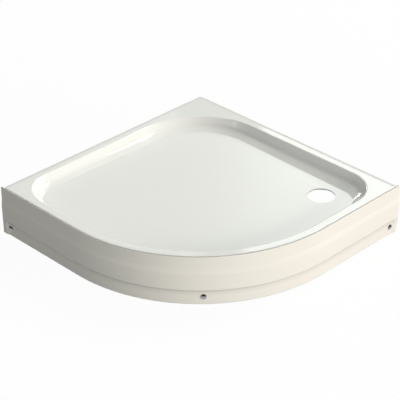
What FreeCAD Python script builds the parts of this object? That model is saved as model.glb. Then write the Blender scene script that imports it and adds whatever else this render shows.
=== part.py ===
import FreeCAD, Part
import math
import os

# Quarter-round shower tray: a formed acrylic tray on a steel frame with levelling feet,
# closed at the front by a curved apron panel. Millimetres, +Z up, the floor at z = 0 and
# the origin under the middle of the square that the tray stands in. The room's walls are
# at -X and +Y, the round front faces +X and -Y, and the drain is in the +X +Y corner.

# Overall
overall_side = 900.0
overall_height = 174.0
front_radius = 538.0

# Apron panel, from its outermost face inwards and from the floor or the rim
panel_sheet = 4.0
panel_floor_gap = 2.0
panel_drop = 0.5
upper_band_setback = 2.6
upper_band_height = 46.0
ledge_height = 16.0
ledge_inner_round = 40.0
ledge_outer_round = 40.0
plinth_height = 48.5
plinth_step = 6.0
plinth_recess = 4.0
plinth_outer_round = 4.5
plinth_inner_round = 11.0
bottom_return = 12.0
bottom_round = 5.0
end_land = 14.0
end_fade = 10.0
end_recess = 0.3

# Tray sheet
sheet = 4.0
panel_gap = 1.2
wall_gap = 8.0
rim_width_left = 31.7
rim_width_back = 36.0
rim_width_front = 29.0
edge_round = 2.5
wall_bevel_width = 13.0
wall_bevel_angle = 8.0
corner_round = 8.0
lip_height = 40.0
basin_depth = 38.0
basin_draft_angle = 36.0
basin_edge_round = 8.5
basin_side_round = 120.0
basin_back_round = 255.0
cove_round = 28.0
margin_depth = 24.0
margin_angle = 20.0
front_margin_angle = 45.0
floor_fall = 0.007
drain_diameter = 90.0
drain_right_setback = 178.0
drain_back_setback = 174.0

# Backing
laminate = 3.0
laminate_base = 5.0
laminate_skirt_gap = 6.0
laminate_drain_margin = 12.0
board = 12.0
board_setback = 17.5
board_drain_opening = 144.0

# Frame tubes
tube_size = 25.0
tube_wall = 1.5
tube_round = 3.0
rail_from_left = 155.0
rail_from_drain = 150.0
cross_from_drain = 215.0
rail_end_gap = 10.0
plug_plate = 2.5
plug_depth = 12.0
plug_clearance = 0.2

# Levelling feet
stud_diameter = 12.0
stud_clearance = 0.2
socket_length = 35.0
socket_flats = 19.0
lock_nut_height = 8.0
lock_nut_flats = 19.0
stud_top_gap = 3.0
foot_from_end = 35.0
pad_diameter = 50.0
pad_edge = 5.0
pad_height = 16.0
pad_neck = 26.0
pad_floor = 5.0
pad_seat_gap = 0.3
key_flats = 17.0
key_height = 7.0

# Screws and cuts
cut_margin = 1.0
screw_clearance = 0.1
rail_screw_diameter = 4.5
rail_screw_bite = 9.0
rail_screw_from_end = 80.0
rail_screw_head = 9.0
rail_screw_head_height = 2.6
rail_screw_access = 11.0
hanger_screw_diameter = 4.0
hanger_screw_bite = 5.5
hanger_screw_head = 8.0
hanger_screw_head_height = 2.4
hanger_screw_spacing = 16.0
apron_screw_diameter = 4.2
apron_screw_tail = 6.0
apron_screw_head = 8.0
apron_screw_from_end = 35.0
apron_screw_height = 31.5
front_screw_shift = 11.0
cup_diameter = 15.6
cup_height = 2.0
cap_diameter = 18.0
cap_skirt = 1.8
cap_height = 3.9
cap_wall = 0.8

# Strips and clips
hanger_width = 30.0
hanger_sheet = 3.0
hanger_top_gap = 4.0
hanger_bend_drop = 4.0
hanger_bend_height = 30.0
hanger_bend_round = 6.0
hanger_floor_gap = 12.0
hanger_screw_drop = 14.0
clip_width = 25.0
clip_sheet = 1.5
clip_play = 0.3
clip_leg = 26.0
clip_leg_drop = 7.0
clip_bend_height = 15.0
clip_bend_round = 4.0
clip_tongue = 30.0
clip_spread = 22.5
clip_from_end = 200.0
wall_clip_width = 40.0
wall_clip_sheet = 2.0
wall_clip_leg = 40.0
wall_clip_toe = 4.0
wall_clip_round = 3.5
wall_clip_hole = 6.0
wall_clip_hole_rise = 14.0
wall_clip_near_run = 180.0
wall_clip_far_run = 620.0

# Places and levels worked out from the values above
half = overall_side / 2
straight = overall_side - front_radius
arc_center = FreeCAD.Vector(half - front_radius, front_radius - half, 0)
tray_setback = upper_band_setback + panel_sheet + panel_gap
lip_inside = tray_setback + sheet + laminate
rim_top = overall_height
lip_bottom = rim_top - lip_height
board_top = rim_top - basin_depth - sheet - laminate_base
board_bottom = board_top - board
rail_bottom = board_bottom - tube_size
rail_middle = board_bottom - tube_size / 2
socket_bottom = rail_bottom - socket_length
lock_nut_bottom = socket_bottom - lock_nut_height
plinth_inside = plinth_recess + panel_sheet
drain_x = half - drain_right_setback
drain_y = half - drain_back_setback
rail_left_x = rail_from_left - half
rail_right_x = drain_x - rail_from_drain
cross_y = drain_y - cross_from_drain
front_screw_angle = -45.0 + math.degrees(front_screw_shift / front_radius)


# General shapes

def circle_solid(radius, height, base, direction=FreeCAD.Vector(0, 0, 1)):
    return Part.makeCylinder(radius, height, base, direction)


def hexagon_solid(flats, height, base):
    corner = flats / math.sqrt(3)
    turns = [math.radians(60 * side) for side in range(7)]
    points = [base + FreeCAD.Vector(corner * math.cos(a), corner * math.sin(a), 0) for a in turns]
    return Part.Face(Part.makePolygon(points)).extrude(FreeCAD.Vector(0, 0, height))


def rounded_square(x_low, y_low, x_high, y_high, rounds, z):
    # Closed outline with its own round at each corner: left, front, right, back.
    corners = [(x_low, y_low, 1, 1), (x_high, y_low, -1, 1), (x_high, y_high, -1, -1), (x_low, y_high, 1, -1)]
    slack = 1 - math.sqrt(0.5)
    arcs = []
    for (x, y, inward_x, inward_y), radius in zip(corners, rounds):
        on_x = FreeCAD.Vector(x + inward_x * radius, y, z)
        on_y = FreeCAD.Vector(x, y + inward_y * radius, z)
        middle = FreeCAD.Vector(x + inward_x * radius * slack, y + inward_y * radius * slack, z)
        ends = (on_y, on_x) if inward_x == inward_y else (on_x, on_y)
        arcs.append((ends[0], middle, ends[1]))
    edges = []
    for arc, following in zip(arcs, arcs[1:] + arcs[:1]):
        edges.append(Part.Arc(*arc).toShape())
        edges.append(Part.makeLine(arc[2], following[0]))
    return Part.Wire(edges)


def rounded_path(points, rounds):
    # Straight runs joined by tangent arcs, one radius for each inner corner.
    edges = []
    start = points[0]
    for before, corner, after, radius in zip(points, points[1:], points[2:], rounds):
        back = (before - corner).normalize()
        ahead = (after - corner).normalize()
        half_angle = back.getAngle(ahead) / 2
        reach = radius / math.tan(half_angle)
        bulge = radius / math.sin(half_angle) - radius
        middle = corner + (back + ahead).normalize() * bulge
        edges.append(Part.makeLine(start, corner + back * reach))
        edges.append(Part.Arc(corner + back * reach, middle, corner + ahead * reach).toShape())
        start = corner + ahead * reach
    edges.append(Part.makeLine(start, points[-1]))
    return edges


def sheet_section(points, rounds, thickness):
    # Section of a bent sheet in the YZ plane. The points run along one face, and the
    # thickness lies to the left of their direction.
    near = [FreeCAD.Vector(0, y, z) for y, z in points]
    runs = [(b - a).normalize() for a, b in zip(near, near[1:])]
    sides = [FreeCAD.Vector(0, -run.z, run.y) for run in runs]
    far = [near[0] + sides[0] * thickness]
    far_rounds = []
    for corner, side, next_side, radius in zip(near[1:-1], sides, sides[1:], rounds):
        far.append(corner + (side + next_side) * (thickness / (1 + side.dot(next_side))))
        turns_left = side.cross(next_side).x > 0
        far_rounds.append(radius - thickness if turns_left else radius + thickness)
    far.append(near[-1] + sides[-1] * thickness)
    start = Part.makeLine(near[0], far[0])
    end = Part.makeLine(near[-1], far[-1])
    edges = rounded_path(near, rounds) + rounded_path(far, far_rounds) + [start, end]
    return Part.Face(Part.Wire(Part.sortEdges(edges)[0]))


def sheet_strip(points, rounds, thickness, width):
    section = sheet_section(points, rounds, thickness)
    section.translate(FreeCAD.Vector(-width / 2, 0, 0))
    return section.extrude(FreeCAD.Vector(width, 0, 0))


def joined(solids):
    return solids[0].fuse(solids[1:]).removeSplitter()


def flat_face_at(shape, point, normal):
    # The flat face that lies wholly in the given plane.
    for face in shape.Faces:
        if all(abs((vertex.Point - point).dot(normal)) < 1e-4 for vertex in face.Vertexes):
            return face


def level_edges_at(shape, z):
    return [edge for edge in shape.Edges if all(abs(vertex.Z - z) < 1e-4 for vertex in edge.Vertexes)]


def on_front(angle, run=0.0):
    # Place on the apron's outermost face: local X along the face, local Y inwards.
    turn = FreeCAD.Rotation(FreeCAD.Vector(0, 0, 1), angle + 90)
    base = arc_center + turn.multVec(FreeCAD.Vector(run, -front_radius, 0))
    return FreeCAD.Placement(base, turn)


def on_wall(turn_degrees, run):
    # Place on a wall plane: local X along the wall, run from the back corner, local Y inwards.
    turn = FreeCAD.Rotation(FreeCAD.Vector(0, 0, 1), turn_degrees)
    away = FreeCAD.Vector(0, -run, 0) if turn_degrees == -90 else FreeCAD.Vector(run, 0, 0)
    return FreeCAD.Placement(FreeCAD.Vector(-half, half, 0) + away, turn)


def bow(width, inset):
    # How far the round's face at this inset curves in over half the given width.
    radius = front_radius - inset
    return radius - math.sqrt(radius ** 2 - (width / 2) ** 2)


def moved_in(place, distance):
    return place.multiply(FreeCAD.Placement(FreeCAD.Vector(0, distance, 0), FreeCAD.Rotation()))


def placed(shape, placement):
    return shape.transformed(placement.toMatrix(), True)


# Tray

def tray_outline(depth, z):
    low = wall_gap + depth - half
    high = half - tray_setback - depth
    corner = max(corner_round - depth, 0.5)
    rounds = (corner, front_radius - tray_setback - depth, corner, corner)
    return rounded_square(low, -high, high, -low, rounds, z)


def basin_outline(inset, front_inset, z):
    left = wall_gap + rim_width_left + inset - half
    back = half - wall_gap - rim_width_back - inset
    front_setback = tray_setback + rim_width_front + front_inset
    high = half - front_setback
    side = basin_side_round - (inset + front_inset) / 2
    rounds = (side, front_radius - front_setback, side, basin_back_round - inset)
    return rounded_square(left, -high, high, back, rounds, z)


def floor_plane(depth):
    # The floor falls along the diagonal towards the drain's corner.
    normal = FreeCAD.Vector(floor_fall * math.sqrt(0.5), floor_fall * math.sqrt(0.5), 1).normalize()
    return FreeCAD.Vector(drain_x, drain_y, rim_top - basin_depth) - normal * depth, normal


def space_above(point, normal):
    above = Part.makeBox(4 * half, 4 * half, 2 * half, FreeCAD.Vector(-2 * half, -2 * half, 0))
    above.Placement = FreeCAD.Placement(point, FreeCAD.Rotation(FreeCAD.Vector(0, 0, 1), normal))
    return above


def basin_funnel(wall_lean, front_lean, start_inset, start_depth, low_z):
    # Hollow that narrows downwards: a lean is the run inwards for each unit of depth.
    wires = []
    for z in (rim_top + edge_round, low_z):
        drop = rim_top - start_depth - z
        wires.append(basin_outline(start_inset + drop * wall_lean, start_inset + drop * front_lean, z))
    return Part.makeLoft(wires, True, True)


def basin_hollow(depth, plane):
    # Steep walls that turn into a shallow margin, grown by depth on every side. The floor
    # cuts the margin off, so that the two meet in a crisp crease.
    draft = math.radians(basin_draft_angle)
    margin = math.radians(margin_angle)
    wall_lean = math.tan(draft)
    margin_lean = 1 / math.tan(margin)
    front_lean = 1 / math.tan(math.radians(front_margin_angle))
    growth = depth / math.cos(draft)
    turn_depth = margin_depth + (depth / math.sin(margin) - growth) / (margin_lean - wall_lean)
    walls = basin_funnel(wall_lean, wall_lean, -growth, 0.0, rail_middle)
    turn_inset = turn_depth * wall_lean - growth
    hollow = walls.common(basin_funnel(margin_lean, front_lean, turn_inset, turn_depth, board_top - cut_margin))
    hollow = hollow.makeFillet(cove_round + depth, level_edges_at(hollow, rim_top - turn_depth))
    return hollow.common(space_above(*plane))


def wall_bevels(depth):
    # Planes of the gentle slopes that the rim has along the two walls.
    lean = math.radians(wall_bevel_angle)
    up = FreeCAD.Vector(0, 0, 1)
    planes = []
    for outwards in (FreeCAD.Vector(-1, 0, 0), FreeCAD.Vector(0, 1, 0)):
        normal = outwards * math.sin(lean) + up * math.cos(lean)
        start = outwards * (half - wall_gap - wall_bevel_width) + up * rim_top
        planes.append((start - normal * depth, normal))
    return planes


def tray_block(depth, plane):
    # Everything under the tray's surface, with that surface moved inwards by depth.
    top = rim_top - depth
    low = FreeCAD.Vector(0, 0, rail_middle)
    block = Part.Face(tray_outline(depth, low.z)).extrude(FreeCAD.Vector(0, 0, top - low.z))
    top_point = FreeCAD.Vector(0, 0, top)
    up = FreeCAD.Vector(0, 0, 1)
    if edge_round > depth:
        block = block.makeFillet(edge_round - depth, flat_face_at(block, top_point, up).Edges)
    for point, normal in wall_bevels(depth):
        block = block.common(space_above(point, normal * -1))
    block = block.cut(basin_hollow(depth, plane))
    if basin_edge_round > depth:
        rim = flat_face_at(block, top_point, up)
        inner = [wire for wire in rim.Wires if not wire.isSame(rim.OuterWire)]
        block = block.makeFillet(basin_edge_round - depth, inner[0].Edges)
    return block


def below_lip(z):
    # What lies outside the basin and below the turned-down edge.
    reach = (tray_setback + rim_width_front + lip_inside) / 2 - tray_setback
    start = rail_middle - cut_margin
    outer = Part.Face(tray_outline(-cut_margin, start))
    inner = Part.Face(tray_outline(reach, start))
    return outer.cut(inner).extrude(FreeCAD.Vector(0, 0, z - start))


def drain_cutter(diameter):
    return circle_solid(diameter / 2, overall_height, FreeCAD.Vector(drain_x, drain_y, 0))


def hanger_screw_holes():
    radius = hanger_screw_diameter / 2 + screw_clearance
    return placed_hanger_screws(radius, hanger_screw_bite + screw_clearance)


def tray_shell():
    shell = tray_block(0.0, floor_plane(0.0)).cut(tray_block(sheet, floor_plane(sheet)))
    shell = shell.cut(below_lip(lip_bottom))
    shell = shell.cut(drain_cutter(drain_diameter))
    return shell.cut(hanger_screw_holes())


def backing_laminate():
    level = (FreeCAD.Vector(0, 0, board_top), FreeCAD.Vector(0, 0, 1))
    layer = tray_block(sheet, floor_plane(sheet)).cut(tray_block(sheet + laminate, level))
    layer = layer.cut(below_lip(lip_bottom + laminate_skirt_gap))
    layer = layer.cut(drain_cutter(drain_diameter + 2 * laminate_drain_margin))
    return layer.cut(hanger_screw_holes())


def board_face(z):
    wall_foot = (rim_top - board_top) * math.tan(math.radians(basin_draft_angle))
    inset = wall_foot + board_setback
    return Part.Face(basin_outline(inset, inset, z))


def floor_board():
    panel = board_face(board_bottom).extrude(FreeCAD.Vector(0, 0, board))
    panel = panel.cut(drain_cutter(board_drain_opening))
    radius = rail_screw_diameter / 2 + screw_clearance
    for spot in rail_screw_spots():
        panel = panel.cut(circle_solid(radius, rail_screw_bite + screw_clearance, spot))
    return panel


# Apron

def panel_section(recess):
    top = rim_top - panel_drop
    ledge_top = rim_top - upper_band_height
    step_top = panel_floor_gap + plinth_height + plinth_step
    points = [
        (upper_band_setback, top),
        (upper_band_setback, ledge_top),
        (0.0, ledge_top - ledge_height),
        (0.0, step_top),
        (recess, step_top - plinth_step),
        (recess, panel_floor_gap),
        (recess + bottom_return, panel_floor_gap),
    ]
    rounds = (ledge_inner_round, ledge_outer_round, plinth_outer_round, plinth_inner_round, bottom_round)
    return sheet_section(points, rounds, panel_sheet)


def apron_panel():
    # One half, from the left wall to the middle of the round, and its mirror image.
    # The plinth's recess runs out shortly before the wall.
    section = panel_section(plinth_recess)
    end_section = panel_section(end_recess)
    fade_start = straight - end_land - end_fade
    run = section.extrude(FreeCAD.Vector(-fade_start, 0, 0))
    bend = section.revolve(FreeCAD.Vector(0, front_radius, 0), FreeCAD.Vector(0, 0, 1), 45)
    section.translate(FreeCAD.Vector(-fade_start, 0, 0))
    end_section.translate(FreeCAD.Vector(-fade_start - end_fade, 0, 0))
    fade = Part.makeLoft([section.OuterWire, end_section.OuterWire], True, True)
    land = end_section.extrude(FreeCAD.Vector(-end_land, 0, 0))
    left = placed(joined([run, bend, fade, land]), on_front(-90.0))
    right = left.mirror(FreeCAD.Vector(0, 0, 0), FreeCAD.Vector(1, 1, 0))
    panel = joined([left, right])
    for place in apron_screw_places():
        panel = panel.cut(placed(apron_screw_hole(), place))
    return panel


def apron_screw_places():
    run = straight - apron_screw_from_end
    return [on_front(-90.0, -run), on_front(front_screw_angle), on_front(0.0, run)]


def hanger_places():
    # The flat strip on the round stands in by the bow of the face that it bears on.
    left, front, right = apron_screw_places()
    return [left, moved_in(front, bow(hanger_width, lip_inside)), right]


def apron_screw_hole():
    radius = apron_screw_diameter / 2 + screw_clearance
    base = FreeCAD.Vector(0, -plinth_recess, apron_screw_height)
    return circle_solid(radius, overall_height / 2, base, FreeCAD.Vector(0, 1, 0))


def screw_profile(radius, inset):
    return FreeCAD.Vector(radius, inset, apron_screw_height)


def turned_about_screw(edges):
    # Solid of revolution about the apron screw's axis.
    face = Part.Face(Part.Wire(edges))
    return face.revolve(screw_profile(0, 0), FreeCAD.Vector(0, 1, 0), 360)


def turned_polygon(points):
    corners = [screw_profile(radius, inset) for radius, inset in points]
    return turned_about_screw(Part.makePolygon(corners + corners[:1]).Edges)


def apron_screw():
    shank = apron_screw_diameter / 2
    head = apron_screw_head / 2
    face = plinth_recess - cup_height
    tip = plinth_inside + hanger_sheet + apron_screw_tail
    sink = face + head - shank
    points = [(0, face), (head, face), (shank, sink), (shank, tip - shank), (0, tip)]
    return turned_polygon(points)


def screw_cup():
    shank = apron_screw_diameter / 2 + screw_clearance
    head = apron_screw_head / 2 + screw_clearance
    face = plinth_recess - cup_height
    sink = face + head - shank
    outer = cup_diameter / 2
    points = [(head, face), (outer - cup_height / 2, face), (outer, plinth_recess)]
    return turned_polygon(points + [(shank, plinth_recess), (shank, sink)])


def dome_arc(radius, base, crown):
    # Arc from the edge of a shallow dome up to its crown on the axis.
    rise = base - crown
    ball = (radius ** 2 + rise ** 2) / (2 * rise)
    part_way = math.asin(radius / ball) / 2
    middle = screw_profile(ball * math.sin(part_way), crown + ball * (1 - math.cos(part_way)))
    return Part.Arc(screw_profile(radius, base), middle, screw_profile(0, crown)).toShape()


def screw_cap():
    # Bright domed cap that snaps over the cup.
    outer = cap_diameter / 2
    inner = outer - cap_wall
    shoulder = plinth_recess - cap_skirt
    crown = plinth_recess - cap_height
    foot = Part.makeLine(screw_profile(inner, plinth_recess), screw_profile(outer, plinth_recess))
    skirt = Part.makeLine(screw_profile(outer, plinth_recess), screw_profile(outer, shoulder))
    bore = Part.makeLine(screw_profile(inner, shoulder), screw_profile(inner, plinth_recess))
    axis = Part.makeLine(screw_profile(0, crown), screw_profile(0, crown + cap_wall))
    domes = [dome_arc(outer, shoulder, crown), dome_arc(inner, shoulder, crown + cap_wall)]
    return turned_about_screw(Part.sortEdges([foot, skirt, bore, axis] + domes)[0])


def apron_hanger():
    # Strip from the inside of the tray's edge down to the back of the plinth.
    top = rim_top - sheet - laminate - hanger_top_gap
    bend_top = lip_bottom - hanger_bend_drop
    points = [
        (lip_inside, top),
        (lip_inside, bend_top),
        (plinth_inside, bend_top - hanger_bend_height),
        (plinth_inside, hanger_floor_gap),
    ]
    strip = sheet_strip(points, (hanger_bend_round, hanger_bend_round), hanger_sheet, hanger_width)
    return strip.cut(apron_screw_hole()).cut(hanger_screw_pair(hanger_screw_diameter / 2 + screw_clearance, 0))


def hanger_screw_pair(radius, bite):
    # Two short round bars through the strip and, by bite, into what it hangs on.
    z = rim_top - sheet - laminate - hanger_top_gap - hanger_screw_drop
    bars = []
    for side in (-1, 1):
        base = FreeCAD.Vector(side * hanger_screw_spacing / 2, lip_inside - bite, z)
        bars.append(circle_solid(radius, bite + hanger_sheet, base, FreeCAD.Vector(0, 1, 0)))
    return Part.makeCompound(bars)


def placed_hanger_screws(radius, bite):
    pairs = [placed(hanger_screw_pair(radius, bite), place) for place in hanger_places()]
    return Part.makeCompound(pairs)


def hanger_screws():
    z = rim_top - sheet - laminate - hanger_top_gap - hanger_screw_drop
    screws = []
    for place in hanger_places():
        for side in (-1, 1):
            base = FreeCAD.Vector(side * hanger_screw_spacing / 2, lip_inside + hanger_sheet, z)
            inward = FreeCAD.Vector(0, 1, 0)
            head = circle_solid(hanger_screw_head / 2, hanger_screw_head_height, base, inward)
            head = head.makeFillet(hanger_screw_head_height / 2, head.Edges[:1])
            length = hanger_screw_bite + hanger_sheet
            shank = circle_solid(hanger_screw_diameter / 2, length, base, inward * -1)
            screws.append(placed(joined([head, shank]), place))
    return Part.makeCompound(screws)


def apron_clip():
    # Spring clip bonded to the middle band, with a tongue behind the tray's edge.
    tongue = lip_inside + clip_play
    bend_low = rim_top - upper_band_height - ledge_height - clip_leg_drop
    bend_top = bend_low + clip_bend_height
    points = [
        (tongue, bend_top + clip_tongue),
        (tongue, bend_top),
        (panel_sheet, bend_low),
        (panel_sheet, bend_low - clip_leg),
    ]
    return sheet_strip(points, (clip_bend_round, clip_bend_round), clip_sheet, clip_width)


def apron_clips():
    run = straight - clip_from_end
    places = [on_front(-90.0, -run), on_front(0.0, run)]
    for side in (-1, 1):
        places.append(moved_in(on_front(-45.0 + side * clip_spread), bow(clip_width, panel_sheet)))
    return Part.makeCompound([placed(apron_clip(), place) for place in places])


# Frame

def chord(start, end):
    # The part of a line that lies over the board.
    inside = Part.makeLine(start, end).common(board_face(start.z))
    return inside.BoundBox


def rail_runs():
    # Middle line of each tube, as start and end points.
    z = board_bottom
    left = chord(FreeCAD.Vector(rail_left_x, -half, z), FreeCAD.Vector(rail_left_x, half, z))
    right = chord(FreeCAD.Vector(rail_right_x, -half, z), FreeCAD.Vector(rail_right_x, half, z))
    cross = chord(FreeCAD.Vector(-half, cross_y, z), FreeCAD.Vector(half, cross_y, z))
    tube_half = tube_size / 2
    return {
        "rail_left": ((rail_left_x, left.YMin + rail_end_gap), (rail_left_x, left.YMax - rail_end_gap)),
        "rail_right": ((rail_right_x, right.YMin + rail_end_gap), (rail_right_x, right.YMax - rail_end_gap)),
        "cross_rail_middle": ((rail_left_x + tube_half, cross_y), (rail_right_x - tube_half, cross_y)),
        "cross_rail_side": ((rail_right_x + tube_half, cross_y), (cross.XMax - rail_end_gap, cross_y)),
    }


def square_bar(size, corner, start, direction, length):
    reach = size / 2
    wire = rounded_square(-reach, -reach, reach, reach, (corner,) * 4, 0)
    bar = Part.Face(wire).extrude(FreeCAD.Vector(0, 0, length))
    bar.Placement = FreeCAD.Placement(start, FreeCAD.Rotation(FreeCAD.Vector(0, 0, 1), direction))
    return bar


def rail_ends(name):
    start, end = [FreeCAD.Vector(x, y, rail_middle) for x, y in rail_runs()[name]]
    return start, end, (end - start).normalize()


def rail_tube(name):
    start, end, along = rail_ends(name)
    length = start.distanceToPoint(end)
    tube = square_bar(tube_size, tube_round, start, along, length)
    tube = tube.cut(square_bar(tube_size - 2 * tube_wall, tube_round - tube_wall, start, along, length))
    radius = rail_screw_diameter / 2 + screw_clearance
    for spot in rail_screw_spots():
        tube = tube.cut(circle_solid(radius, tube_wall, spot - FreeCAD.Vector(0, 0, tube_wall)))
        access = FreeCAD.Vector(spot.x, spot.y, rail_bottom)
        tube = tube.cut(circle_solid(rail_screw_access / 2, tube_wall, access))
    return tube


def rail_screw_spots():
    # Where each screw passes from a tube into the board.
    spots = []
    for name in ("rail_left", "rail_right"):
        start, end, along = rail_ends(name)
        spots += [start + along * rail_screw_from_end, end - along * rail_screw_from_end]
    start, end, along = rail_ends("cross_rail_middle")
    spots += [start + along * rail_screw_from_end, end - along * rail_screw_from_end]
    start, end, along = rail_ends("cross_rail_side")
    spots += [start + along * rail_screw_from_end]
    return [FreeCAD.Vector(spot.x, spot.y, board_bottom) for spot in spots]


def rail_screws():
    screws = []
    for spot in rail_screw_spots():
        under = spot - FreeCAD.Vector(0, 0, tube_wall)
        shank = circle_solid(rail_screw_diameter / 2, tube_wall + rail_screw_bite, under)
        head_base = under - FreeCAD.Vector(0, 0, rail_screw_head_height)
        head = circle_solid(rail_screw_head / 2, rail_screw_head_height, head_base)
        screws.append(joined([head, shank]))
    return Part.makeCompound(screws)


def rail_end_plugs():
    plugs = []
    for name, both in (("rail_left", True), ("rail_right", True), ("cross_rail_side", False)):
        start, end, along = rail_ends(name)
        plugs.append(rail_end_plug(end, along))
        if both:
            plugs.append(rail_end_plug(start, along * -1))
    return Part.makeCompound(plugs)


def rail_end_plug(end, outward):
    inner = tube_size - 2 * tube_wall - 2 * plug_clearance
    plate = square_bar(tube_size, tube_round, end, outward, plug_plate)
    plate = plate.makeFillet(plug_plate / 3, flat_face_at(plate, end + outward * plug_plate, outward).Edges)
    stem = square_bar(inner, tube_round - tube_wall, end - outward * plug_depth, outward, plug_depth)
    core = square_bar(inner - 4 * tube_wall, tube_wall / 2, end - outward * plug_depth, outward, plug_depth)
    return joined([plate, stem.cut(core)])


# Levelling feet

def foot_spots():
    spots = []
    for name in ("rail_left", "rail_right"):
        start, end, along = rail_ends(name)
        spots += [start + along * foot_from_end, end - along * foot_from_end]
    start, end, along = rail_ends("cross_rail_side")
    spots.append(end - along * foot_from_end)
    return [FreeCAD.Vector(spot.x, spot.y, 0) for spot in spots]


def threaded_block(flats, height, z, spot):
    base = spot + FreeCAD.Vector(0, 0, z)
    bore = circle_solid(stud_diameter / 2 + stud_clearance, height, base)
    return hexagon_solid(flats, height, base).cut(bore)


def foot_sockets():
    return Part.makeCompound([threaded_block(socket_flats, socket_length, socket_bottom, s) for s in foot_spots()])


def foot_lock_nuts():
    z = lock_nut_bottom
    return Part.makeCompound([threaded_block(lock_nut_flats, lock_nut_height, z, s) for s in foot_spots()])


def foot_stud(spot):
    low = spot + FreeCAD.Vector(0, 0, pad_floor + pad_seat_gap)
    length = rail_bottom - stud_top_gap - low.z
    rod = circle_solid(stud_diameter / 2, length, low)
    rod = rod.makeChamfer(stud_diameter / 10, rod.Edges[:1] + rod.Edges[2:])
    key = hexagon_solid(key_flats, key_height, spot + FreeCAD.Vector(0, 0, pad_height + pad_seat_gap))
    return joined([rod, key])


def foot_pad(spot):
    outer = pad_diameter / 2
    neck = pad_neck / 2
    bore = stud_diameter / 2 + stud_clearance
    outline = [(0, 0), (outer, 0), (outer, pad_edge), (neck, pad_height - pad_edge), (neck, pad_height)]
    outline += [(bore, pad_height), (bore, pad_floor), (0, pad_floor)]
    points = [FreeCAD.Vector(radius, 0, z) for radius, z in outline]
    face = Part.Face(Part.makePolygon(points + points[:1]))
    pad = face.revolve(FreeCAD.Vector(0, 0, 0), FreeCAD.Vector(0, 0, 1), 360)
    pad.translate(spot)
    return pad


# Wall clips

def wall_clip():
    points = [
        (wall_gap + sheet + wall_clip_toe, lip_bottom),
        (0.0, lip_bottom),
        (0.0, lip_bottom - wall_clip_leg),
    ]
    strip = sheet_strip(points, (wall_clip_round,), wall_clip_sheet, wall_clip_width)
    z = lip_bottom - wall_clip_leg + wall_clip_hole_rise
    for side in (-1, 1):
        base = FreeCAD.Vector(side * wall_clip_width / 4, -cut_margin, z)
        length = wall_clip_sheet + 2 * cut_margin
        strip = strip.cut(circle_solid(wall_clip_hole / 2, length, base, FreeCAD.Vector(0, 1, 0)))
    return strip


def wall_clips():
    spots = [(turn, run) for turn in (-90, 180) for run in (wall_clip_near_run, wall_clip_far_run)]
    return Part.makeCompound([placed(wall_clip(), on_wall(turn, run)) for turn, run in spots])


# Nodes

def at_apron_screws(shape):
    return Part.makeCompound([placed(shape, place) for place in apron_screw_places()])


def nodes():
    made = {
        "tray_shell": tray_shell(),
        "backing_laminate": backing_laminate(),
        "floor_board": floor_board(),
        "apron_panel": apron_panel(),
        "apron_screws": at_apron_screws(apron_screw()),
        "screw_cups": at_apron_screws(screw_cup()),
        "screw_caps": at_apron_screws(screw_cap()),
        "hanger_screws": hanger_screws(),
        "apron_clips": apron_clips(),
        "rail_screws": rail_screws(),
        "rail_end_plugs": rail_end_plugs(),
        "foot_sockets": foot_sockets(),
        "foot_lock_nuts": foot_lock_nuts(),
        "wall_clips": wall_clips(),
    }
    for side, place in zip(("left", "front", "right"), hanger_places()):
        made["apron_hanger_" + side] = placed(apron_hanger(), place)
    for name in rail_runs():
        made[name] = rail_tube(name)
    for number, spot in enumerate(foot_spots(), 1):
        made["foot_stud_" + str(number)] = foot_stud(spot)
        made["foot_pad_" + str(number)] = foot_pad(spot)
    return made


os.makedirs("parts", exist_ok=True)
for node_name, node_shape in nodes().items():
    node_shape.exportStep("parts/" + node_name + ".step")
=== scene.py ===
import math
import bmesh
import bpy
from mathutils import Matrix, Vector


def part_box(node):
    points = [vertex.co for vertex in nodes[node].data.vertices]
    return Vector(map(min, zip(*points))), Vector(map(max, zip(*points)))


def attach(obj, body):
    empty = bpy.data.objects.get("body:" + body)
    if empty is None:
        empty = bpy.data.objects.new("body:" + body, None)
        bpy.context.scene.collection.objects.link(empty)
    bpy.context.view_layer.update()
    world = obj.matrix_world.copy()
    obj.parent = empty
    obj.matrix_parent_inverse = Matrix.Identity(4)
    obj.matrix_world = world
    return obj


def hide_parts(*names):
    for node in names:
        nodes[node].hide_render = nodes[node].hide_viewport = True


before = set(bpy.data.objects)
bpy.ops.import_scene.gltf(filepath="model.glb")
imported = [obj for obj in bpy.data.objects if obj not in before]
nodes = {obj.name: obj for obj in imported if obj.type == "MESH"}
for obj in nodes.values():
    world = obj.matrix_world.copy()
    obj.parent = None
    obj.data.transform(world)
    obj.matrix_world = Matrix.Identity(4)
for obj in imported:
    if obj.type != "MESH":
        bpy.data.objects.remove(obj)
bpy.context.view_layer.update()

mm = 0.001
feetCount = sum(1 for name in nodes if name.startswith("foot_stud_"))
print("frame loaded:", len(nodes), "nodes")


# shader wiring

class Wire:
    def __init__(self, socket):
        self.socket = socket

    def maths(self, operation, left, right):
        tree = self.socket.id_data
        node = tree.nodes.new("ShaderNodeMath")
        node.operation = operation
        for entry, value in zip(node.inputs, (left, right)):
            if isinstance(value, Wire):
                tree.links.new(value.socket, entry)
            else:
                entry.default_value = value
        return Wire(node.outputs[0])

    def __add__(self, other):
        return self.maths("ADD", self, other)

    def __sub__(self, other):
        return self.maths("SUBTRACT", self, other)

    def __rsub__(self, other):
        return self.maths("SUBTRACT", other, self)

    def __mul__(self, other):
        return self.maths("MULTIPLY", self, other)

    __radd__ = __add__
    __rmul__ = __mul__


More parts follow.
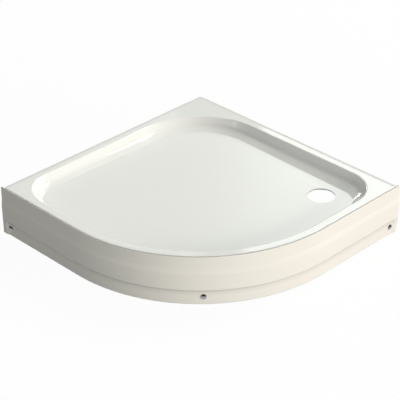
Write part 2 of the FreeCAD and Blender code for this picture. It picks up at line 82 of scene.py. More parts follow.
class Finish:
    def __init__(self, name, owner=None):
        self.owner = owner or bpy.data.materials.new(name)
        self.owner.use_nodes = True
        self.tree = self.owner.node_tree
        self.tree.nodes.clear()

    def node(self, kind, settings=None, inputs=None, output=0):
        made = self.tree.nodes.new("ShaderNode" + kind)
        for key, value in (settings or {}).items():
            if key == "stops":
                ramp = made.color_ramp.elements
                while len(ramp) < len(value):
                    ramp.new(1.0)
                for stop, (place, colour) in zip(ramp, value):
                    stop.position = place
                    stop.color = (*colour, 1.0)
            else:
                setattr(made, key, value)
        for key, value in (inputs or {}).items():
            if isinstance(value, Wire):
                self.tree.links.new(value.socket, made.inputs[key])
            else:
                made.inputs[key].default_value = value
        return Wire(made.outputs[output]) if made.outputs else None

    def place(self):
        return self.node("TexCoord", output="Object")

    def height(self):
        return self.node("SeparateXYZ", None, {0: self.place()}, "Z")

    def levelness(self):
        return self.node("SeparateXYZ", None, {0: self.node("NewGeometry", output="Normal")}, "Z")

    def stretched(self, scale, turn=(0, 0, 0)):
        return self.node("Mapping", None, {"Vector": self.place(), "Scale": scale, "Rotation": turn})

    def noise(self, scale, detail, rough=0.5, vector=None):
        inputs = {"Scale": scale, "Detail": detail, "Roughness": rough, "Vector": vector or self.place()}
        return self.node("TexNoise", None, inputs)

    def cells(self, scale, output="Color", feature="F1", vector=None):
        inputs = {"Scale": scale, "Vector": vector or self.place()}
        return self.node("TexVoronoi", {"feature": feature}, inputs, output)

    def grey(self, colour):
        return self.node("RGBToBW", None, {0: colour})

    def ramp(self, factor, stops):
        return self.node("ValToRGB", {"stops": stops}, {"Fac": factor})

    def between(self, value, low, high):  # 0 at low, 1 at high
        inputs = {"Value": value, "From Min": low, "From Max": high}
        return self.node("MapRange", {"clamp": True}, inputs)

    def mix(self, factor, first, second):
        colours = [c if isinstance(c, Wire) else (*c, 1.0) for c in (first, second)]
        inputs = {0: factor, 6: colours[0], 7: colours[1]}  # the colour sockets of a Mix node
        return self.node("Mix", {"data_type": "RGBA"}, inputs, 2)

    def bump(self, height, strength, distance):
        return self.node("Bump", None, {"Height": height, "Strength": strength, "Distance": distance})

    def principled(self, **inputs):
        sockets = {key.replace("_", " ").title(): value for key, value in inputs.items()}
        if "Ior" in sockets:
            sockets["IOR"] = sockets.pop("Ior")
        self.surface(self.node("BsdfPrincipled", None, sockets))
        return self.owner

    def surface(self, shader):
        kind = "OutputWorld" if isinstance(self.owner, bpy.types.World) else "OutputMaterial"
        self.node(kind, None, {"Surface": shader})


# finishes; a noise is given as scale, detail and roughness, a relief as strength and depth

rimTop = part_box("tray_shell")[1][2]
trayLook = {"white": (0.815, 0.818, 0.792), "shade": (0.80, 0.806, 0.779), "clouds": (2.5, 2.0), "gloss": 0.05,
            "satin": 0.23, "satinDepth": 20 * mm, "satinFade": 2 * mm, "level": (0.985, 0.998),
            "peel": (240.0, 2.0), "relief": (0.03, 0.3 * mm), "ior": 1.49, "crease": 6.0}


def makeTrayAcrylic():
    f = Finish("trayAcrylic")
    look = trayLook
    colour = f.mix(f.noise(*look["clouds"]), look["white"], look["shade"])
    satinTop = rimTop - look["satinDepth"]
    sunk = f.between(f.height(), satinTop, satinTop - look["satinFade"])
    standing = sunk * f.between(f.levelness(), *look["level"])
    rough = look["gloss"] + standing * look["satin"]  # the standing surface is less polished
    peel = f.bump(f.noise(*look["peel"]), *look["relief"])  # slight waviness of formed sheet
    return f.principled(base_color=colour, roughness=rough, ior=look["ior"], normal=peel)


# apronLook holds the painted shadow below the plinth step and the painted shade on the top edge
apronLook = {"cream": (0.824, 0.811, 0.755), "shade": (0.814, 0.801, 0.745), "clouds": (3.0, 2.0), "gloss": 0.17,
             "glossSpread": 0.03, "gapShadeColour": (0.43, 0.42, 0.40), "gapShadeLevel": (0.8, 0.95),
             "stepShadowColour": (0.45, 0.435, 0.40), "stepShadowShare": 0.28, "stepShadowEnd": 32 * mm, "stepLow": 50.5 * mm,
             "stepTop": 56 * mm, "peel": (420.0, 2.0), "relief": (0.03, 0.2 * mm), "ior": 1.27}


def makeApronPlastic():
    f = Finish("apronPlastic")
    look = apronLook
    clouds = f.noise(*look["clouds"])
    colour = f.mix(clouds, look["cream"], look["shade"])
    # painted shade: the top edge is darkened where the gap under the rim lies in shade
    gapShade = f.between(f.levelness(), *look["gapShadeLevel"])
    colour = f.mix(gapShade, colour, look["gapShadeColour"])  # painted shade on the upward top edge, standing in for the dark gap under the rim
    # painted shadow: a band under the plinth step is darkened
    under = f.between(f.height(), look["stepShadowEnd"], look["stepLow"])
    under = under * (1 - f.between(f.height(), look["stepLow"], look["stepTop"]))
    colour = f.mix(under * look["stepShadowShare"], colour, look["stepShadowColour"])  # painted shadow below the plinth step, fading downwards
    rough = look["gloss"] + clouds * look["glossSpread"]
    peel = f.bump(f.noise(*look["peel"]), *look["relief"])
    return f.principled(base_color=colour, roughness=rough, ior=look["ior"], normal=peel)


fibreLook = {"resin": (0.62, 0.60, 0.47), "strand": (0.82, 0.81, 0.72), "pooled": (0.52, 0.49, 0.36),
             "strands": (46.0, 3.0, 0.6), "stretch": (1.0, 14.0, 6.0), "turns": (0.2, 1.1, 2.0, 2.8), "roll": 0.3,
             "pitch": 0.2, "strandEdge": (0.56, 0.72), "pools": (18.0, 3.0), "poolEdge": (0.4, 0.65),
             "poolShare": 0.35, "poolRelief": 0.6, "gloss": 0.32, "glossSpread": 0.3, "relief": (0.55, 1.2 * mm),
             "ior": 1.55}


def makeGlassFibre():
    f = Finish("glassFibre")
    look = fibreLook
    strands = 0.0
    for turn in look["turns"]:  # chopped strands lie every way
        layer = f.noise(*look["strands"], f.stretched(look["stretch"], (look["roll"] * turn, look["pitch"], turn)))
        strands = f.node("Math", {"operation": "MAXIMUM"}, {0: strands, 1: layer})
    mat = f.between(strands, *look["strandEdge"])
    pool = f.between(f.noise(*look["pools"]), *look["poolEdge"])
    colour = f.mix(mat, look["resin"], look["strand"])
    colour = f.mix(pool * look["poolShare"], colour, look["pooled"])
    rough = look["gloss"] + mat * look["glossSpread"]
    raised = f.bump(mat + pool * look["poolRelief"], *look["relief"])
    return f.principled(base_color=colour, roughness=rough, ior=look["ior"], normal=raised)


boardLook = {"pale": (0.56, 0.41, 0.24), "dark": (0.27, 0.165, 0.08), "gap": (0.16, 0.095, 0.045), "darkAt": 0.15,
             "paleAt": 0.85, "chip": 120.0, "chipStretch": (1.0, 0.45, 1.7), "chipShare": 0.75, "gapWidth": 0.09,
             "fibre": (300.0, 4.0, 0.6), "fibreStretch": (1.0, 6.0, 1.0), "fibreShare": 0.3, "turn": (0, 0, 0.5),
             "gloss": 0.62, "glossSpread": 0.25, "gapRelief": 0.5, "chipRelief": 0.5, "relief": (0.5, 0.7 * mm)}


def makePressedBoard():
    f = Finish("pressedBoard")
    look = boardLook
    along = f.stretched(look["chipStretch"], look["turn"])
    chips = f.grey(f.cells(look["chip"], vector=along))
    gaps = f.between(f.cells(look["chip"], "Distance", "DISTANCE_TO_EDGE", along), 0.0, look["gapWidth"])
    fibre = f.noise(*look["fibre"], f.stretched(look["fibreStretch"], look["turn"]))
    tone = chips * look["chipShare"] + fibre * look["fibreShare"]
    colour = f.ramp(tone, [(look["darkAt"], look["dark"]), (look["paleAt"], look["pale"])])
    colour = f.mix(gaps, look["gap"], colour)
    rough = look["gloss"] + fibre * look["glossSpread"]
    raised = f.bump(gaps * look["gapRelief"] + chips * look["chipRelief"], *look["relief"])
    return f.principled(base_color=colour, roughness=rough, normal=raised)


coatLook = {"grey": (0.105, 0.11, 0.118), "pale": (0.16, 0.165, 0.17), "grain": (900.0, 2.0),
            "scuffs": (40.0, 6.0, 0.7), "scuffEdge": (0.6, 0.72), "scuffShare": 0.5, "gloss": 0.36,
            "scuffGloss": 0.2, "grainGloss": 0.08, "relief": (0.25, 0.3 * mm)}


def makeFrameCoat():
    f = Finish("frameCoat")
    look = coatLook
    grain = f.noise(*look["grain"])
    scuffs = f.between(f.noise(*look["scuffs"]), *look["scuffEdge"])
    colour = f.mix(scuffs * look["scuffShare"], look["grey"], look["pale"])
    rough = look["gloss"] + scuffs * look["scuffGloss"] + grain * look["grainGloss"]
    return f.principled(base_color=colour, roughness=rough, normal=f.bump(grain, *look["relief"]))


galvanisedLook = {"light": (0.66, 0.68, 0.70), "dark": (0.42, 0.44, 0.47), "spangle": 110.0,
                  "bloom": (60.0, 4.0, 0.6), "flowerShare": 0.7, "bloomShare": 0.3, "gloss": 0.3,
                  "flowerGloss": 0.22, "bloomGloss": 0.1, "relief": (0.08, 0.3 * mm)}


def makeGalvanised():
    f = Finish("galvanisedSteel")
    look = galvanisedLook
    flowers = f.grey(f.cells(look["spangle"]))
    bloom = f.noise(*look["bloom"])
    colour = f.mix(flowers * look["flowerShare"] + bloom * look["bloomShare"], look["dark"], look["light"])
    rough = look["gloss"] + flowers * look["flowerGloss"] + bloom * look["bloomGloss"]
    return f.principled(base_color=colour, metallic=1.0, roughness=rough, normal=f.bump(flowers, *look["relief"]))


zincLook = {"bright": (0.70, 0.70, 0.68), "tint": (0.62, 0.60, 0.50), "bloom": (130.0, 4.0, 0.6),
            "tintEdge": (0.35, 0.7), "gloss": 0.24, "glossSpread": 0.2, "grain": (1500.0, 3.0),
            "relief": (0.06, 0.1 * mm)}


def makeBrightZinc():
    f = Finish("brightZinc")
    look = zincLook
    bloom = f.noise(*look["bloom"])
    colour = f.mix(f.between(bloom, *look["tintEdge"]), look["bright"], look["tint"])
    rough = look["gloss"] + bloom * look["glossSpread"]
    raised = f.bump(f.noise(*look["grain"]), *look["relief"])
    return f.principled(base_color=colour, metallic=1.0, roughness=rough, normal=raised)


springLook = {"light": (0.58, 0.585, 0.60), "dark": (0.40, 0.405, 0.42), "brush": (700.0, 4.0, 0.6),
              "stretch": (1.0, 1.0, 0.04), "gloss": 0.26, "glossSpread": 0.2, "relief": (0.12, 0.1 * mm)}


def makeSpringSteel():
    f = Finish("springSteel")
    look = springLook
    brush = f.noise(*look["brush"], f.stretched(look["stretch"]))  # brushed up and down
    colour = f.mix(brush, look["dark"], look["light"])
    rough = look["gloss"] + brush * look["glossSpread"]
    return f.principled(base_color=colour, metallic=1.0, roughness=rough, normal=f.bump(brush, *look["relief"]))


# the caps' colour darkens towards the top as a painted dark reflection
chromeLook = {"metal": (0.36, 0.36, 0.365), "paintedDarkTop": (0.05, 0.05, 0.052), "fadeFrom": 0.8 * mm, "fadeTo": 4.6 * mm,
              "gloss": 0.06, "wipes": (500.0, 4.0, 0.6), "wipeEdge": (0.5, 0.8), "wipeGloss": 0.08}


def makeCapChrome():
    f = Finish("capChrome")
    look = chromeLook
    low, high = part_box("screw_caps")
    middle = (low[2] + high[2]) / 2
    upper = f.between(f.height(), middle + look["fadeFrom"], middle + look["fadeTo"])
    colour = f.mix(upper, look["metal"], look["paintedDarkTop"])  # painted dark reflection towards the top edge
    wipes = f.between(f.noise(*look["wipes"]), *look["wipeEdge"])
    return f.principled(base_color=colour, metallic=1.0, roughness=look["gloss"] + wipes * look["wipeGloss"])


mouldLook = {"patches": (35.0, 5.0, 0.65), "hazeEdge": (0.45, 0.75), "hazeShare": 0.6, "hazeGloss": 0.18,
             "relief": (0.3, 0.2 * mm), "ior": 1.5}
cupLook = {"base": (0.74, 0.74, 0.71), "haze": (0.66, 0.66, 0.63), "gloss": 0.38, "grain": (500.0, 3.0, 0.6)}
plugLook = {"base": (0.025, 0.025, 0.026), "haze": (0.075, 0.073, 0.07), "gloss": 0.45, "grain": (600.0, 3.0, 0.6)}
padLook = {"base": (0.03, 0.03, 0.031), "haze": (0.11, 0.105, 0.098), "gloss": 0.52, "grain": (700.0, 3.0, 0.6)}


def makeMouldedPlastic(name, look):
    f = Finish(name)
    haze = f.between(f.noise(*mouldLook["patches"]), *mouldLook["hazeEdge"])
    colour = f.mix(haze * mouldLook["hazeShare"], look["base"], look["haze"])
    rough = look["gloss"] + haze * mouldLook["hazeGloss"]
    grain = f.bump(f.noise(*look["grain"]), *mouldLook["relief"])
    return f.principled(base_color=colour, roughness=rough, ior=mouldLook["ior"], normal=grain)


# studio surfaces

floorLook = {"paper": (0.88, 0.88, 0.88), "bounce": (0.1, 0.1, 0.1), "glow": 0.955, "grain": (60.0, 3.0),
             "grainShade": 0.97, "size": 30.0}
worldLook = {"fill": (1.0, 1.0, 1.0), "strength": 0.015}


def seenDirectly(f):
    camera = f.node("LightPath", output="Is Camera Ray")
    glossy = f.node("LightPath", output="Is Glossy Ray")
    through = f.node("LightPath", output="Is Transmission Ray")
    return f.node("Math", {"operation": "MINIMUM"}, {0: camera + glossy + through, 1: 1.0})


def makeFloorPaper():
    f = Finish("floorPaper")
    shaded = tuple(floorLook["grainShade"] * c for c in floorLook["paper"])
    white = f.mix(f.noise(*floorLook["grain"]), floorLook["paper"], shaded)
    colour = f.mix(seenDirectly(f), floorLook["bounce"], white)  # little light goes back up from it
    paper = f.node("BsdfDiffuse", None, {"Color": colour})
    glow = f.node("Emission", None, {"Color": (1, 1, 1, 1), "Strength": 1.0})
    f.surface(f.node("MixShader", None, {0: seenDirectly(f) * floorLook["glow"], 1: paper, 2: glow}))
    return f.owner


def makeWorld():
    world = bpy.data.worlds.new("studio")
    bpy.context.scene.world = world
    f = Finish("studio", world)
    fill = f.node("Background", None, {"Color": (*worldLook["fill"], 1.0), "Strength": worldLook["strength"]})
    white = f.node("Background", None, {"Color": (1, 1, 1, 1), "Strength": 1.0})
    f.surface(f.node("MixShader", None, {0: seenDirectly(f), 1: fill, 2: white}))


# camera and lights

cameraLook = {"place": (3.02911, -2.99176, rimTop + 2.52587), "yaw": 45.3596, "pitch": 31.1829, "roll": -0.4242,
              "focal": 1555.57, "frame": 400, "sensor": 36.0, "reach": 100.0}


def link(thing):
    bpy.context.scene.collection.objects.link(thing)
    return thing


def makeCamera():
    data = bpy.data.cameras.new("camera")
    camera = link(bpy.data.objects.new("camera", data))
    data.sensor_width = cameraLook["sensor"]
    data.lens = cameraLook["focal"] / cameraLook["frame"] * cameraLook["sensor"]
    data.clip_end = cameraLook["reach"]
    turn = Matrix.Rotation(math.radians(cameraLook["yaw"]), 4, "Z")
    tilt = Matrix.Rotation(math.radians(90 - cameraLook["pitch"]), 4, "X")
    roll = Matrix.Rotation(math.radians(cameraLook["roll"]), 4, "Z")
    camera.matrix_world = Matrix.Translation(cameraLook["place"]) @ turn @ tilt @ roll
    bpy.context.scene.camera = camera


lampLooks = {
    "keyLamp": {"azimuth": 15.0, "rise": 8.0, "distance": 6.0, "size": (2.57, 2.57), "power": 267.0,
                "colour": (1.0, 0.914, 0.876), "mirrored": False},
    "frontLamp": {"azimuth": -30.0, "rise": 10.0, "distance": 4.2, "size": (1.8, 1.8), "power": 82.5,
                  "colour": (0.99, 1.0, 0.95), "mirrored": False},
    "leftLamp": {"azimuth": -100.0, "rise": 40.0, "distance": 6.0, "size": (2.57, 2.57), "power": 59.0,
                 "colour": (1.0, 0.97, 0.98), "mirrored": False},
    "sideLamp": {"azimuth": 85.0, "rise": 42.0, "distance": 11.0, "size": (4.7, 4.7), "power": 990.0,
                 "colour": (0.962, 1.0, 0.938)},
    "farLamp": {"azimuth": 150.0, "rise": 40.0, "distance": 11.0, "size": (4.7, 4.7), "power": 55.0,
                "colour": (1.0, 1.0, 1.0)},
    "backLamp": {"azimuth": 118.4, "rise": 31.0, "distance": 5.8, "size": (2.2, 2.2), "power": 41.0,
                 "colour": (0.97, 0.98, 1.0)},
    "cornerLamp": {"azimuth": 158.0, "rise": 14.0, "distance": 9.0, "size": (1.2, 3.0), "power": 100.0,
                   "colour": (1.0, 1.0, 1.0), "lights": False},
    "stripLamp": {"azimuth": -108.0, "rise": 42.0, "distance": 6.0, "size": (0.4, 2.0), "power": 9.0,
                  "colour": (1.0, 1.0, 1.0), "lights": False},
}


def makeLamp(name, look):
    data = bpy.data.lights.new(name, "AREA")
    data.shape = "RECTANGLE"
    data.size, data.size_y = look["size"]
    data.energy = look["power"]
    data.color = look["colour"]
    lamp = link(bpy.data.objects.new(name, data))
    around = math.radians(look["azimuth"])
    rise = math.radians(look["rise"])
    level = math.cos(rise)
    toward = Vector((level * math.cos(around), level * math.sin(around), math.sin(rise)))
    lamp.location = toward * look["distance"]
    lamp.visible_glossy = look.get("mirrored", True)  # the low lamps don't show in the gloss
    lamp.visible_diffuse = look.get("lights", True)  # the small ones show in the gloss alone
    lamp.rotation_mode = "QUATERNION"
    lamp.rotation_quaternion = toward.to_track_quat("Z", "Y")


def stageMesh(name, points, faces, material):
    mesh = bpy.data.meshes.new(name)
    mesh.from_pydata(points, [], faces)
    mesh.materials.append(material)
    stood = link(bpy.data.objects.new(name, mesh))
    return stood


def makeFloor():
    reach = floorLook["size"] / 2
    corners = [(-reach, -reach, 0), (reach, -reach, 0), (reach, reach, 0), (-reach, reach, 0)]
    stageMesh("floor", corners, [(0, 1, 2, 3)], makeFloorPaper())


screenLook = {"radius": 8.0, "low": 0.0, "high": 4.5, "from": -118.0, "to": 40.0, "steps": 40}
backScreenLook = {"radius": 8.0, "low": 0.9, "high": 2.75, "from": 104.0, "to": 136.0, "steps": 10}
clothLook = {"grey": (0.03, 0.03, 0.03), "thread": (0.05, 0.05, 0.05), "weave": (40.0, 3.0), "rough": 0.9}


def makeScreenCloth():
    f = Finish("screenCloth")
    colour = f.mix(f.noise(*clothLook["weave"]), clothLook["grey"], clothLook["thread"])
    return f.principled(base_color=colour, roughness=clothLook["rough"])


def makeDarkScreen(name, look, cloth):  # seen only as what bright surfaces mirror
    points = []
    for step in range(look["steps"] + 1):
        around = math.radians(look["from"] + step / look["steps"] * (look["to"] - look["from"]))
        spot = (look["radius"] * math.cos(around), look["radius"] * math.sin(around))
        points += [(*spot, look["low"]), (*spot, look["high"])]
    faces = [(2 * i, 2 * i + 2, 2 * i + 3, 2 * i + 1) for i in range(look["steps"])]
    screen = stageMesh(name, points, faces, cloth)
    screen.visible_camera = False
    screen.visible_diffuse = False
    screen.visible_shadow = False


# dressing the solids

def cover(mesh, material, crease):
    mesh.materials.clear()
    mesh.materials.append(material)
    mesh.polygons.foreach_set("use_smooth", [True] * len(mesh.polygons))
    mesh.set_sharp_from_angle(angle=math.radians(crease))


def dress(names, material, crease=35.0):
    for name in names:
        cover(nodes[name].data, material, crease)


# building turned pieces

def ring(z, radius, sides):
    turns = [2 * math.pi * side / sides for side in range(sides)]
    reaches = [radius(turn) if callable(radius) else radius for turn in turns]
    return [Vector((reach * math.cos(turn), reach * math.sin(turn), z)) for reach, turn in zip(reaches, turns)]


threadLook = {"crest": 0.12, "flank": 0.76, "perPitch": 6}


def threadReach(radius, pitch, depth, z):
    def reach(turn):
        phase = (z / pitch - turn / (2 * math.pi)) % 1.0
        fallen = (abs(2 * phase - 1) - threadLook["crest"]) / threadLook["flank"]
        return radius - depth * min(max(fallen, 0.0), 1.0)
    return reach


hexLook = {"faceShare": 0.95, "steps": (0.0, 0.25 * mm, 0.55 * mm, 0.95 * mm), "overrun": 1.02}


def hexReach(flats, limit):
    def reach(turn):
        return min(limit, flats / 2 / math.cos(turn % (math.pi / 3) - math.pi / 6))
    return reach


def hexRings(flats, low, high, sides, chamferHigh=True):
    slope = math.sqrt(3)
    corner = flats / slope
    face = flats / 2 * hexLook["faceShare"]
    steps = [*hexLook["steps"], (corner - face) / slope * hexLook["overrun"]]
    rings = [ring(low + step, hexReach(flats, face + step * slope), sides) for step in steps]
    for step in reversed(steps):
        limit = face + step * slope if chamferHigh else corner
        rings.append(ring(high - step, hexReach(flats, limit), sides))
    return rings


def nearest(vertex, loop):
    return min(range(len(loop)), key=lambda step: (loop[step].co - vertex.co).length)


def skin(bm, rings, place, closed=False, aligned=False):  # walls from ring to ring, lids on open ends
    loops = [[bm.verts.new(place @ point) for point in points] for points in rings]
    pairs = list(zip(loops, loops[1:])) + ([(loops[-1], loops[0])] if closed else [])
    for low, high in pairs:
        start = nearest(low[0], high) if aligned else 0
        turned = high[start:] + high[:start]
        for here in range(len(low)):
            ahead = (here + 1) % len(low)
            bm.faces.new((low[here], low[ahead], turned[ahead], turned[here]))
    if not closed:
        bm.faces.new(list(reversed(loops[0])))
        bm.faces.new(loops[-1])


def finishPiece(name, bm, material, body, stands, crease):
    bmesh.ops.recalc_face_normals(bm, faces=bm.faces)
    mesh = bpy.data.meshes.new(name)
    bm.to_mesh(mesh)
    bm.free()
    cover(mesh, material, crease)
    piece = link(bpy.data.objects.new(name, mesh))
    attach(piece, body)
    for node in stands:
        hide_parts(node)


def midway(values):
    return (min(values) + max(values)) / 2


def middleOf(name):
    low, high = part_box(name)
    return Vector(((low[0] + high[0]) / 2, (low[1] + high[1]) / 2, 0))


def islands(name):  # corner points of each separate solid in a node
    mesh = nodes[name].data
    fine = 1e6  # points within a micrometre are one
    spots, keys = {}, []
    for vertex in mesh.vertices:
        key = tuple(round(c * fine) for c in vertex.co)
        spots.setdefault(key, len(spots))
        keys.append(spots[key])
    owner = list(range(len(spots)))

    def root(item):
        while owner[item] != item:
            owner[item] = owner[owner[item]]
            item = owner[item]
        return item

    for edge in mesh.edges:
        first, second = (root(keys[v]) for v in edge.vertices)
        owner[second] = first
    groups = {}
    for vertex, key in zip(mesh.vertices, keys):
        groups.setdefault(root(key), []).append(vertex.co.copy())
    return list(groups.values())


# levelling feet

studLook = {"radius": 6.0 * mm, "pitch": 1.75 * mm, "depth": 1.05 * mm, "chamfer": 1.2 * mm, "sides": 36,
            "keyFlats": 17.0 * mm, "keyLow": 16.3 * mm, "keyHigh": 23.3 * mm, "crease": 50.0}


def makeStud(number, material):
    node = "foot_stud_" + str(number)
    low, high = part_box(node)
    look = studLook
    sides, radius = look["sides"], look["radius"]
    rings = [ring(low[2], radius - look["chamfer"], sides), ring(low[2] + look["chamfer"], radius, sides)]
    rings.append(ring(look["keyLow"], radius, sides))
    rings += hexRings(look["keyFlats"], look["keyLow"], look["keyHigh"], sides)
    rings.append(ring(look["keyHigh"], radius - look["depth"], sides))
    step = look["pitch"] / threadLook["perPitch"]
    for count in range(1, int((high[2] - look["keyHigh"]) / step)):
        z = look["keyHigh"] + count * step
        tip = radius - look["chamfer"] + (high[2] - z)
        reach = threadReach(radius, look["pitch"], look["depth"], z)
        rings.append(ring(z, lambda turn: min(reach(turn), tip), sides))
    rings.append(ring(high[2], radius - look["chamfer"], sides))
    bm = bmesh.new()
    skin(bm, rings, Matrix.Translation(middleOf(node)))
    finishPiece("footStud" + str(number), bm, material, "stud_" + str(number), (node,), look["crease"])


padShape = {"radius": 25.0 * mm, "edge": 5.0 * mm, "neck": 13.0 * mm, "shoulder": 11.0 * mm, "height": 16.0 * mm,
            "bore": 6.2 * mm, "well": 5.0 * mm, "wellEnd": 1.0 * mm, "collar": 0.4 * mm, "lip": 0.8 * mm,
            "lead": 0.6 * mm, "round": 1.2 * mm, "lowLeans": (0, 30, 60, 90), "highLeans": (0, 20, 40, 60),
            "hub": 2.0 * mm, "groove": 0.7 * mm, "grooves": 4, "grooveFrom": 4.5 * mm, "grooveStep": 5.0 * mm,
            "treadFrom": 0.7 * mm, "treadTo": 2.6 * mm, "treadEnd": 3.3 * mm, "ribs": 12, "ribEdge": 0.62,
            "ribSlope": 0.2, "ribInset": 0.15 * mm, "ribShares": (0.06, 0.1, 0.35, 0.65, 0.84, 0.9),
            "pocket": 1.5 * mm, "pocketFrom": 0.08, "pocketTo": 0.88, "sides": 96, "crease": 28.0}


def ribbed(points, depth):  # sinks the space between the ribs
    look = padShape
    moved = []
    for side, point in enumerate(points):
        share = abs((side * look["ribs"] / look["sides"]) % 1.0 - 0.5) * 2
        sunk = min(max((look["ribEdge"] - share) / look["ribSlope"], 0.0), 1.0)
        moved.append(point - Vector((0, 0, depth * sunk)))
    return moved


def makePad(number, material):
    node = "foot_pad_" + str(number)
    look = padShape
    sides, outer, edge, soft = look["sides"], look["radius"], look["edge"], look["round"]
    neck, top, bore, groove = look["neck"], look["height"], look["bore"], look["groove"]
    rings = [ring(groove, look["hub"], sides)]
    for count in range(look["grooves"]):  # rings under the pad that grip the floor
        inner = look["grooveFrom"] + look["grooveStep"] * count
        rings += [ring(groove, inner, sides), ring(0.0, inner + look["treadFrom"], sides)]
        rings += [ring(0.0, inner + look["treadTo"], sides), ring(groove, inner + look["treadEnd"], sides)]
    for lean in map(math.radians, look["lowLeans"]):
        rings.append(ring(soft * (1 - math.cos(lean)), outer - soft + soft * math.sin(lean), sides))
    for lean in map(math.radians, look["highLeans"]):
        rings.append(ring(edge - soft + soft * math.sin(lean), outer - soft + soft * math.cos(lean), sides))
    for share in look["ribShares"]:
        z = edge + share * (look["shoulder"] - edge)
        reach = outer + share * (neck - outer)
        depth = look["pocket"] if look["pocketFrom"] < share < look["pocketTo"] else 0.0
        rings.append(ribbed(ring(z, reach - look["ribInset"], sides), depth))
    for z, reach in ((look["shoulder"] + look["collar"], neck), (top - look["lip"], neck), (top, neck - look["lip"]),
                     (top, bore + look["lead"]), (top - look["lead"], bore), (look["well"], bore),
                     (look["well"], look["wellEnd"])):
        rings.append(ring(z, reach, sides))
    bm = bmesh.new()
    skin(bm, rings, Matrix.Translation(middleOf(node)))
    finishPiece("footPad" + str(number), bm, material, "pad_" + str(number), (node,), look["crease"])


socketLook = {"flats": 19.0 * mm, "bore": 6.2 * mm, "lead": 0.9 * mm, "sides": 72, "crease": 25.0}


def makeHexSet(name, node, material, chamferHigh):
    low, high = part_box(node)[0][2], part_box(node)[1][2]
    look = socketLook
    sides, bore, lead = look["sides"], look["bore"], look["lead"]
    bm = bmesh.new()
    for number in range(1, feetCount + 1):
        rings = [ring(low, bore + lead, sides)]
        rings += hexRings(look["flats"], low, high, sides, chamferHigh)
        rings += [ring(high, bore + lead, sides), ring(high - lead, bore, sides), ring(low + lead, bore, sides)]
        skin(bm, rings, Matrix.Translation(middleOf("foot_stud_" + str(number))), True)
    finishPiece(name, bm, material, "tray", (node,), look["crease"])


# screws with a cross recess

screwForm = {"sides": 40, "neck": 0.4 * mm, "tipShare": 0.55, "edge": 0.25 * mm, "domeFrom": 0.3 * mm,
             "domeShare": 0.96, "crown": 0.72, "leans": (0, 20, 45, 70, 90), "topFall": 0.04,
             "topShares": (0.62, 0.58, 0.5, 0.42, 0.34, 0.26, 0.18, 0.1), "armSlack": 1.05, "armSlope": 0.45,
             "crease": 30.0}
railScrewLook = {"head": 4.5 * mm, "headHeight": 2.6 * mm, "shank": 2.25 * mm, "pitch": 1.8 * mm, "depth": 0.5 * mm,
                 "arm": 2.5 * mm, "armHalf": 0.62 * mm, "recess": 1.5 * mm}
hangerScrewLook = {"head": 4.0 * mm, "headHeight": 2.4 * mm, "shank": 2.0 * mm, "pitch": 1.6 * mm, "depth": 0.45 * mm,
                   "arm": 2.2 * mm, "armHalf": 0.55 * mm, "recess": 1.3 * mm, "sideFrom": 0.3, "leftTurn": -90.0,
                   "rightTurn": 0.0, "frontTurn": -43.83}


def crossSink(look, point):
    near, far = sorted((abs(point.x), abs(point.y)))
    if near > look["armHalf"] * screwForm["armSlack"] or far > look["arm"]:
        return 0.0
    return look["recess"] * min(1.0, (look["arm"] - far) / (screwForm["armSlope"] * look["arm"]))


def screwRings(look, length):  # head up, its seat at z = 0
    form = screwForm
    sides, edge, head, top = form["sides"], form["edge"], look["head"], look["headHeight"]
    rings = []
    tip = -(length - top)
    z = tip
    while z < -form["neck"]:
        reach = threadReach(look["shank"], look["pitch"], look["depth"], z)
        narrow = look["shank"] * form["tipShare"] + (z - tip)
        rings.append(ring(z, lambda turn: min(reach(turn), narrow), sides))
        z += look["pitch"] / threadLook["perPitch"]
    rings += [ring(0.0, look["shank"], sides), ring(0.0, head - edge, sides), ring(edge, head, sides)]
    for lean in map(math.radians, form["leans"]):
        z = form["domeFrom"] + (top - form["domeFrom"]) * math.sin(lean) * form["domeShare"]
        rings.append(ring(z, head * (form["crown"] + (1 - form["crown"]) * math.cos(lean)), sides))
    for share in form["topShares"]:
        flat = ring(top - form["topFall"] * top * share, head * share, sides)
        rings.append([point - Vector((0, 0, crossSink(look, point))) for point in flat])
    return rings


def makeRailScrews(material):
    look = railScrewLook
    bm = bmesh.new()
    for points in islands("rail_screws"):
        low, high = min(p.z for p in points), max(p.z for p in points)
        spot = (midway([p.x for p in points]), midway([p.y for p in points]), low + look["headHeight"])
        seat = Matrix.Translation(spot) @ Matrix.Rotation(math.pi, 4, "X")
        skin(bm, screwRings(look, high - low), seat)
    finishPiece("railScrews", bm, material, "tray", ("rail_screws",), screwForm["crease"])


def makeHangerScrews(material):
    look = hangerScrewLook
    bm = bmesh.new()
    for points in islands("hanger_screws"):
        middle = sum(points, Vector()) / len(points)
        if middle.x < -look["sideFrom"]:
            turn = math.radians(look["leftTurn"])
        elif middle.y > look["sideFrom"]:
            turn = math.radians(look["rightTurn"])
        else:
            turn = math.radians(look["frontTurn"])
        inward = Vector((-math.cos(turn), -math.sin(turn), 0))
        side = inward.cross(Vector((0, 0, 1)))
        along = [p.dot(inward) for p in points]
        seat = inward * (max(along) - look["headHeight"]) + side * midway([p.dot(side) for p in points])
        seat.z = midway([p.z for p in points])
        place = Matrix.Translation(seat) @ inward.to_track_quat("Z", "Y").to_matrix().to_4x4()
        skin(bm, screwRings(look, max(along) - min(along)), place)
    finishPiece("hangerScrews", bm, material, "tray", ("hanger_screws",), screwForm["crease"])


# weld beads of the frame

weldLook = {"radius": 1.9 * mm, "ripple": 0.16, "beat": 1.7 * mm, "step": 0.55 * mm, "sides": 8, "corner": 3.0 * mm,
            "endShare": 0.45, "endStep": 0.2, "collar": 10.3 * mm, "collarPoints": 36, "crease": 60.0}


def runAlong(corners, step):  # even points on a bent line
    spots = []
    for start, end in zip(corners, corners[1:]):
        count = max(int((end - start).length / step), 1)
        spots += [start.lerp(end, i / count) for i in range(count)]
    return spots + [corners[-1]]


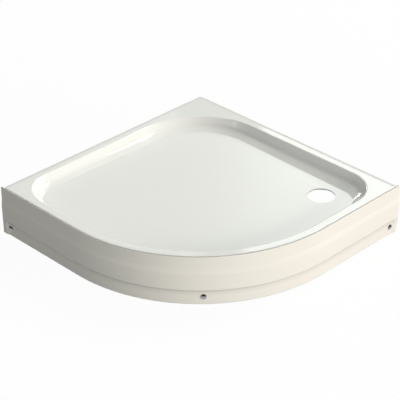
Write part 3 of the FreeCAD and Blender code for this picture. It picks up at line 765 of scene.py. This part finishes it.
def layBead(bm, corners, closed=False):
    look = weldLook
    spots = runAlong(corners, look["step"])
    if closed:
        spots.pop()
    rings = []
    for count, spot in enumerate(spots):
        before = spots[count - 1] if closed or count else spot
        after = spots[(count + 1) % len(spots)] if closed or count + 1 < len(spots) else spot
        turn = (after - before).normalized().to_track_quat("Z", "Y").to_matrix().to_4x4()
        swell = 1 + look["ripple"] * math.sin(2 * math.pi * count * look["step"] / look["beat"])
        fromEnd = min(count, len(spots) - 1 - count)
        fade = 1.0 if closed else min(1.0, look["endShare"] + look["endStep"] * fromEnd)
        place = Matrix.Translation(spot) @ turn
        rings.append([place @ point for point in ring(0.0, look["radius"] * swell * fade, look["sides"])])
    skin(bm, rings, Matrix(), closed, True)


def makeWeldBeads(material):
    look = weldLook
    corner = look["corner"]
    bm = bmesh.new()
    for name in ("cross_rail_middle", "cross_rail_side"):
        low, high = [Vector(c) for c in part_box(name)]
        ends = (low.x, high.x) if name == "cross_rail_middle" else (low.x,)
        line = [(low.y, high.z - corner), (low.y, low.z + corner), (low.y + corner, low.z),
                (high.y - corner, low.z), (high.y, low.z + corner), (high.y, high.z - corner)]
        for x in ends:  # round the sides and underside of the butted tube
            layBead(bm, [Vector((x, y, z)) for y, z in line])
    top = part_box("foot_sockets")[1][2]
    for number in range(1, feetCount + 1):
        middle = middleOf("foot_stud_" + str(number)) + Vector((0, 0, top))
        rim = ring(0.0, hexReach(socketLook["flats"], look["collar"]), look["collarPoints"])
        layBead(bm, [middle + point for point in rim + rim[:1]], True)
    finishPiece("weldBeads", bm, material, "tray", (), look["crease"])


# making everything

frameCoat = makeFrameCoat()
galvanised = makeGalvanised()
brightZinc = makeBrightZinc()
padRubber = makeMouldedPlastic("padRubber", padLook)
dress(["tray_shell"], makeTrayAcrylic(), trayLook["crease"])
dress(["apron_panel"], makeApronPlastic())
dress(["backing_laminate"], makeGlassFibre())
dress(["floor_board"], makePressedBoard())
dress(["screw_caps"], makeCapChrome())
dress(["screw_cups"], makeMouldedPlastic("cupPlastic", cupLook))
dress(["rail_end_plugs"], makeMouldedPlastic("plugPlastic", plugLook))
dress(["apron_screws"], brightZinc)
dress(["apron_clips"], makeSpringSteel())
dress(["wall_clips", "apron_hanger_left", "apron_hanger_front", "apron_hanger_right"], galvanised)
dress(["rail_left", "rail_right", "cross_rail_middle", "cross_rail_side"], frameCoat)
print("finishes set")

for footNumber in range(1, feetCount + 1):
    makeStud(footNumber, brightZinc)
    makePad(footNumber, padRubber)
makeHexSet("footSockets", "foot_sockets", galvanised, False)
makeHexSet("footLockNuts", "foot_lock_nuts", brightZinc, True)
print("feet made")

makeRailScrews(brightZinc)
makeHangerScrews(brightZinc)
makeWeldBeads(frameCoat)
print("fasteners and welds made")

makeWorld()
makeFloor()
screenCloth = makeScreenCloth()
makeDarkScreen("darkScreen", screenLook, screenCloth)
makeDarkScreen("backScreen", backScreenLook, screenCloth)
for lampName, lampLook in lampLooks.items():
    makeLamp(lampName, lampLook)
makeCamera()
bpy.context.scene.view_settings.view_transform = "Standard"
print("studio set")
